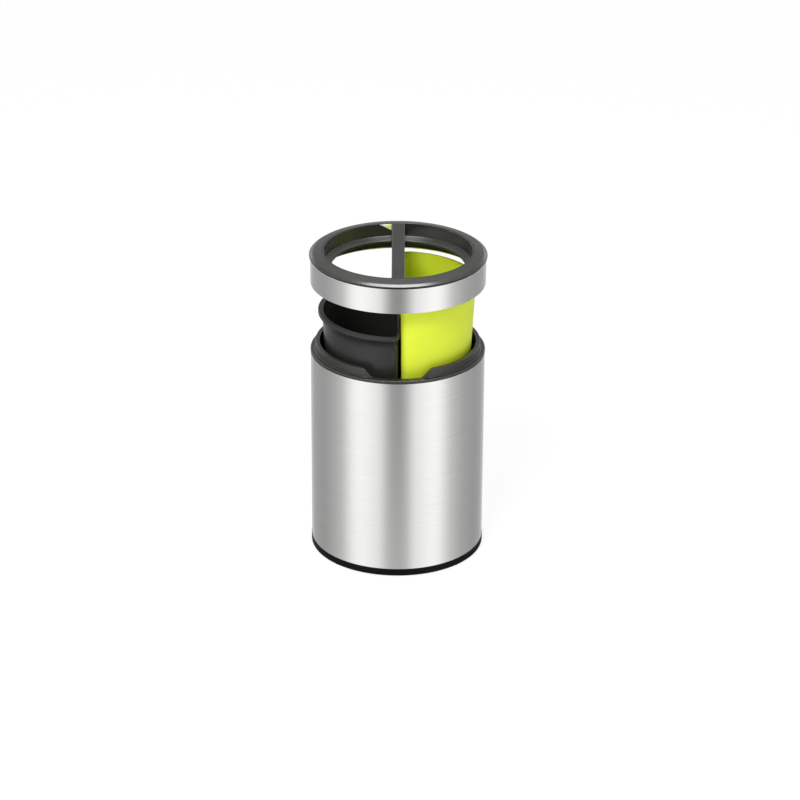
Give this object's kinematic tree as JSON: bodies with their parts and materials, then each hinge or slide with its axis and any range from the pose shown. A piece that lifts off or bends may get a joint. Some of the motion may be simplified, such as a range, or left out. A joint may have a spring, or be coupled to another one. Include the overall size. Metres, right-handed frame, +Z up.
{
  "type": "dual compartment bin",
  "caption": "Round steel open-top bin with a lift-off ring lid, its divider bar over two D-shaped lift-out buckets, one black and one lime.",
  "frame": {"origin": "middle of the underside, on the floor", "axes": "+Z up along the body's axis; the front faces -Y; the lime bucket is on +X and the black bucket on -X"},
  "size_m": [0.228, 0.228, 0.4104],
  "materials": {
    "steel": "brushed, satin",
    "black_plastic": "satin moulded polypropylene",
    "lime_plastic": "satin moulded polypropylene",
    "rubber": "matt"
  },
  "bodies": {
    "bin_body": {"outer_shell": "steel", "base_moulding": "black_plastic", "foot_pads": "rubber", "top_collar": "black_plastic"},
    "black_bucket": {"black_bucket": "black_plastic"},
    "green_bucket": {"green_bucket": "lime_plastic"},
    "lid": {"lid_ring": "black_plastic", "lid_band": "steel"}
  },
  "joints": [
    {"name": "black_bucket_lift", "type": "slide", "parent": "bin_body", "child": "black_bucket", "axis": [0, 0, 1], "range_m": [-0.039, 0.228]},
    {"name": "green_bucket_lift", "type": "slide", "parent": "black_bucket", "child": "green_bucket", "axis": [0, 0, 1], "range_m": [-0.038, 0.1]},
    {"name": "lid_lift", "type": "slide", "parent": "green_bucket", "child": "lid", "axis": [0, 0, 1], "range_m": [-0.015, 0.035]}
  ]
}
